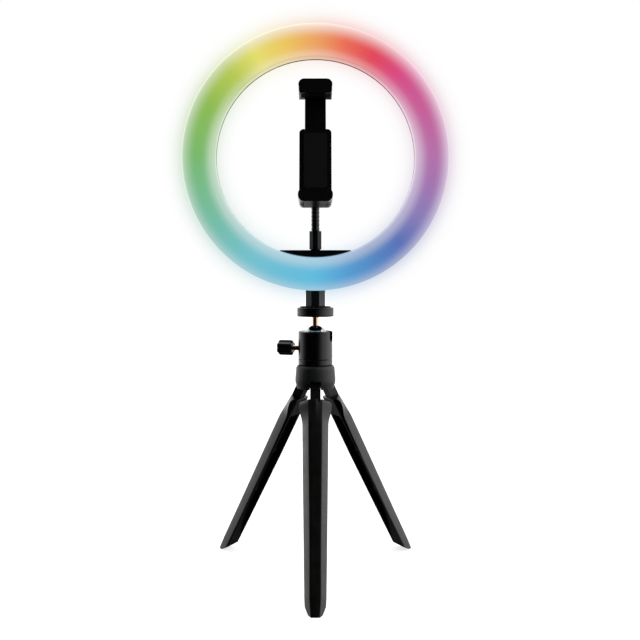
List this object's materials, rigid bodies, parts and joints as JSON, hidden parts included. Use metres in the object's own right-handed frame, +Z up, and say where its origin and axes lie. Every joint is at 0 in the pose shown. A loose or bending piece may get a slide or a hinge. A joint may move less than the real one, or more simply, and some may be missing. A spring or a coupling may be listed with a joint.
{
  "type": "ring light",
  "caption": "Table-top ring light: round colour-lit ring on a ball head and folding pocket tripod, with a flexible-neck phone clamp in the ring's hole.",
  "frame": {"origin": "on the floor, in the middle of the footprint's length and width; the tripod's upright axis stands 20.5 mm behind it", "axes": "+Z up, -Y out of the lit face of the ring, +X to the right for someone who faces the light"},
  "size_m": [0.2, 0.1399, 0.4155],
  "materials": {
    "leg_plastic": "satin moulded nylon",
    "hub_plastic": "matt moulded nylon",
    "head_black": "satin black anodised",
    "knob_plastic": "satin",
    "gloss_black": "semi-gloss moulded",
    "housing_plastic": "fine-grained moulded",
    "neck_black": "ribbed black sleeve",
    "rubber": "matt",
    "chrome": "polished",
    "steel": "zinc plated",
    "brass": "plain brass",
    "seat_plastic": "natural acetal",
    "milky_cover": "opal, lit in colours from behind",
    "board_white": "white solder mask on aluminium",
    "led_yellow": "resin over lamp die"
  },
  "bodies": {
    "tripod": {"tripod_hub": "hub_plastic", "hub_bolt": "steel", "friction_washer": "rubber", "front_leg_pin": "steel", "left_leg_pin": "steel", "right_leg_pin": "steel"},
    "front_leg": {"front_leg": "leg_plastic", "front_foot": "rubber"},
    "left_leg": {"left_leg": "leg_plastic", "left_foot": "rubber"},
    "right_leg": {"right_leg": "leg_plastic", "right_foot": "rubber"},
    "head": {"head_base": "head_black", "head_barrel": "head_black", "pressure_pad": "seat_plastic", "base_set_screw": "steel"},
    "knob": {"lock_screw": "brass", "lock_knob": "knob_plastic"},
    "ball": {"ball_stud": "chrome"},
    "wheel": {"lock_wheel": "head_black", "wheel_pad": "rubber"},
    "post": {"post": "gloss_black", "thread_insert": "brass"},
    "ring": {"mount_bracket": "gloss_black", "bracket_screws": "steel", "rear_housing": "housing_plastic", "front_diffuser": "milky_cover", "led_board": "board_white", "leds": "led_yellow", "housing_screws": "steel", "power_socket": "steel", "tilt_bolt": "steel", "tilt_nut": "steel"},
    "collar": {"neck_collar": "neck_black"},
    "neck_lower": {"gooseneck_lower": "neck_black"},
    "neck_middle": {"gooseneck_middle": "neck_black"},
    "neck_upper": {"gooseneck_upper": "neck_black", "gooseneck_end": "neck_black"},
    "socket": {"ball_socket": "neck_black", "socket_nut": "neck_black"},
    "clamp": {"clamp_body": "gloss_black", "clamp_cover": "gloss_black", "clamp_screws": "steel", "clamp_spring": "steel", "backrest_pad": "rubber", "lower_jaw_pad": "rubber"},
    "jaw": {"upper_jaw": "gloss_black", "upper_jaw_pad": "rubber"}
  },
  "joints": [
    {"name": "front_leg_fold", "type": "hinge", "parent": "tripod", "child": "front_leg", "pos_m": [0, 0.01099, 0.1435], "axis": [1, 0, 0], "range_deg": [0, 27.5]},
    {"name": "left_leg_fold", "type": "hinge", "parent": "tripod", "child": "left_leg", "pos_m": [-0.00823, 0.02524, 0.1435], "axis": [-0.5, -0.866, 0], "range_deg": [0, 27.5]},
    {"name": "right_leg_fold", "type": "hinge", "parent": "tripod", "child": "right_leg", "pos_m": [0.00823, 0.02524, 0.1435], "axis": [-0.5, 0.866, 0], "range_deg": [0, 27.5]},
    {"name": "head_swivel", "type": "hinge", "parent": "tripod", "child": "head", "pos_m": [0, 0.02049, 0.157], "axis": [0, 0, 1], "range_deg": [-180, 180]},
    {"name": "ball_tilt", "type": "hinge", "parent": "head", "child": "ball", "pos_m": [0, 0.02049, 0.1788], "axis": [0.342, 0.9397, 0], "range_deg": [-45, 90]},
    {"name": "lock_knob_turn", "type": "hinge", "parent": "head", "child": "knob", "pos_m": [-0.01879, 0.02733, 0.17], "axis": [-0.9397, 0.342, 0], "range_deg": [-360, 360]},
    {"name": "lock_wheel_turn", "type": "hinge", "parent": "ball", "child": "wheel", "pos_m": [0, 0.02049, 0.1985], "axis": [0, 0, 1], "range_deg": [-360, 360]},
    {"name": "post_turn", "type": "hinge", "parent": "ball", "child": "post", "pos_m": [0, 0.02049, 0.208], "axis": [0, 0, 1], "range_deg": [-180, 180]},
    {"name": "ring_tilt", "type": "hinge", "parent": "post", "child": "ring", "pos_m": [0, 0.02049, 0.228], "axis": [1, 0, 0], "range_deg": [-75, 15]},
    {"name": "holder_swivel", "type": "hinge", "parent": "ring", "child": "collar", "pos_m": [0, 0.00049, 0.25], "axis": [0, 0, 1], "range_deg": [-15, 15]},
    {"name": "neck_bend", "type": "hinge", "parent": "collar", "child": "neck_lower", "pos_m": [0, 0.00049, 0.2608], "axis": [1, 0, 0], "range_deg": [-12, 18]},
    {"name": "neck_bend_middle", "type": "hinge", "parent": "neck_lower", "child": "neck_middle", "pos_m": [0, 0.00049, 0.2758], "axis": [1, 0, 0], "range_deg": [-12, 18]},
    {"name": "neck_bend_upper", "type": "hinge", "parent": "neck_middle", "child": "neck_upper", "pos_m": [0, 0.00049, 0.2908], "axis": [1, 0, 0], "range_deg": [-12, 18]},
    {"name": "clamp_tilt", "type": "hinge", "parent": "neck_upper", "child": "socket", "pos_m": [0, -0.00826, 0.31175], "axis": [1, 0, 0], "range_deg": [-25, 18]},
    {"name": "clamp_roll", "type": "hinge", "parent": "socket", "child": "clamp", "pos_m": [0, -0.00826, 0.31175], "axis": [0, 0.9848, -0.1736], "range_deg": [-90, 90]},
    {"name": "jaw_slide", "type": "slide", "parent": "clamp", "child": "jaw", "axis": [0, 0.1736, 0.9848], "range_m": [-0.018, 0.012]}
  ],
  "couplings": [
    {"joint": "neck_bend_middle", "follows": "neck_bend", "ratio": 1},
    {"joint": "neck_bend_upper", "follows": "neck_bend", "ratio": 1}
  ]
}
